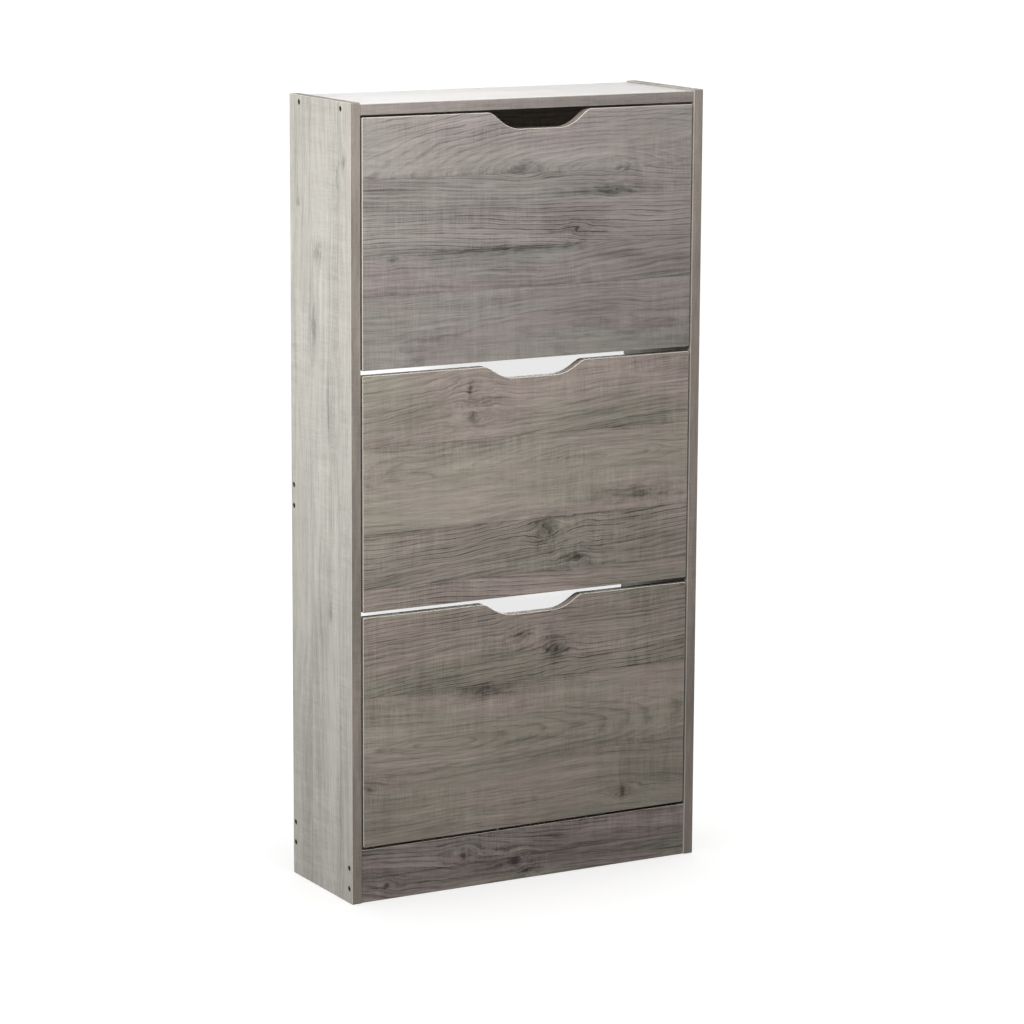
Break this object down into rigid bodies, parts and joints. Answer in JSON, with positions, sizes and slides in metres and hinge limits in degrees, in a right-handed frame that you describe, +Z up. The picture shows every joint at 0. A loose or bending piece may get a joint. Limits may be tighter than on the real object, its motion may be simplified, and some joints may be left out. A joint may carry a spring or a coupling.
{
  "type": "shoe cabinet",
  "caption": "Tall slim shoe cabinet of wood-decor boards with an open back, a plinth and tip-out flaps, each with a finger cut-out and a shoe rack behind it.",
  "frame": {"origin": "centre of the footprint, on the floor", "axes": "+Z up, front towards -Y, +X to the right seen from the front"},
  "size_m": [0.6, 0.2, 1.2],
  "materials": {
    "decor_across": "grey-brown rustic wood decor on board, grain lying across, satin with a faint saw-mark texture",
    "decor_upright": "the same grey-brown wood decor with its grain upright",
    "decor_top": "pale whitened wood decor, satin, with a grey-brown edge band",
    "rail_board": "grey-brown wood decor on board, edges banded to match",
    "rack_plastic": "dark grey injection-moulded plastic, fine matt texture",
    "rack_board": "thin hardboard, lacquered grey-brown face",
    "screw_steel": "dark burnished steel screw head with a hexagon socket",
    "stop_rubber": "dark rubber stop peg, matt"
  },
  "bodies": {
    "carcass": {"side_panel_left": "decor_upright", "side_panel_right": "decor_upright", "top_board": "decor_top", "plinth": "decor_across", "rear_top_rail": "rail_board", "rear_middle_rail": "rail_board", "rear_bottom_rail": "rail_board", "screw_plinth_lower_left": "screw_steel", "screw_plinth_lower_right": "screw_steel", "screw_plinth_upper_left": "screw_steel", "screw_plinth_upper_right": "screw_steel", "screw_rear_middle_rail_lower_left": "screw_steel", "screw_rear_middle_rail_lower_right": "screw_steel", "screw_rear_middle_rail_upper_left": "screw_steel", "screw_rear_middle_rail_upper_right": "screw_steel", "screw_rear_bottom_rail_lower_left": "screw_steel", "screw_rear_bottom_rail_lower_right": "screw_steel", "screw_rear_bottom_rail_upper_left": "screw_steel", "screw_rear_bottom_rail_upper_right": "screw_steel", "screw_top_board_front_left": "screw_steel", "screw_top_board_front_right": "screw_steel", "screw_top_board_rear_left": "screw_steel", "screw_top_board_rear_right": "screw_steel", "bottom_pivot_bush_left": "rack_plastic", "bottom_opening_stop_left": "stop_rubber", "bottom_closing_stop_left": "stop_rubber", "bottom_pivot_bush_right": "rack_plastic", "bottom_opening_stop_right": "stop_rubber", "bottom_closing_stop_right": "stop_rubber", "middle_pivot_bush_left": "rack_plastic", "middle_opening_stop_left": "stop_rubber", "middle_closing_stop_left": "stop_rubber", "middle_pivot_bush_right": "rack_plastic", "middle_opening_stop_right": "stop_rubber", "middle_closing_stop_right": "stop_rubber", "top_pivot_bush_left": "rack_plastic", "top_opening_stop_left": "stop_rubber", "top_closing_stop_left": "stop_rubber", "top_pivot_bush_right": "rack_plastic", "top_opening_stop_right": "stop_rubber", "top_closing_stop_right": "stop_rubber"},
    "flap_bottom_unit": {"flap_bottom": "decor_across", "bottom_rack_cheek_left": "rack_plastic", "bottom_rack_cheek_right": "rack_plastic", "bottom_rack_floor": "rack_board", "bottom_rack_back": "rack_board", "bottom_rack_divider": "rack_board"},
    "flap_middle_unit": {"flap_middle": "decor_across", "middle_rack_cheek_left": "rack_plastic", "middle_rack_cheek_right": "rack_plastic", "middle_rack_floor": "rack_board", "middle_rack_back": "rack_board", "middle_rack_divider": "rack_board"},
    "flap_top_unit": {"flap_top": "decor_across", "top_rack_cheek_left": "rack_plastic", "top_rack_cheek_right": "rack_plastic", "top_rack_floor": "rack_board", "top_rack_back": "rack_board", "top_rack_divider": "rack_board"}
  },
  "joints": [
    {"name": "flap_bottom_tilt", "type": "hinge", "parent": "carcass", "child": "flap_bottom_unit", "pos_m": [0, -0.078, 0.146], "axis": [1, 0, 0], "range_deg": [0, 45]},
    {"name": "flap_middle_tilt", "type": "hinge", "parent": "carcass", "child": "flap_middle_unit", "pos_m": [0, -0.078, 0.506], "axis": [1, 0, 0], "range_deg": [0, 45]},
    {"name": "flap_top_tilt", "type": "hinge", "parent": "carcass", "child": "flap_top_unit", "pos_m": [0, -0.078, 0.868], "axis": [1, 0, 0], "range_deg": [0, 45]}
  ]
}
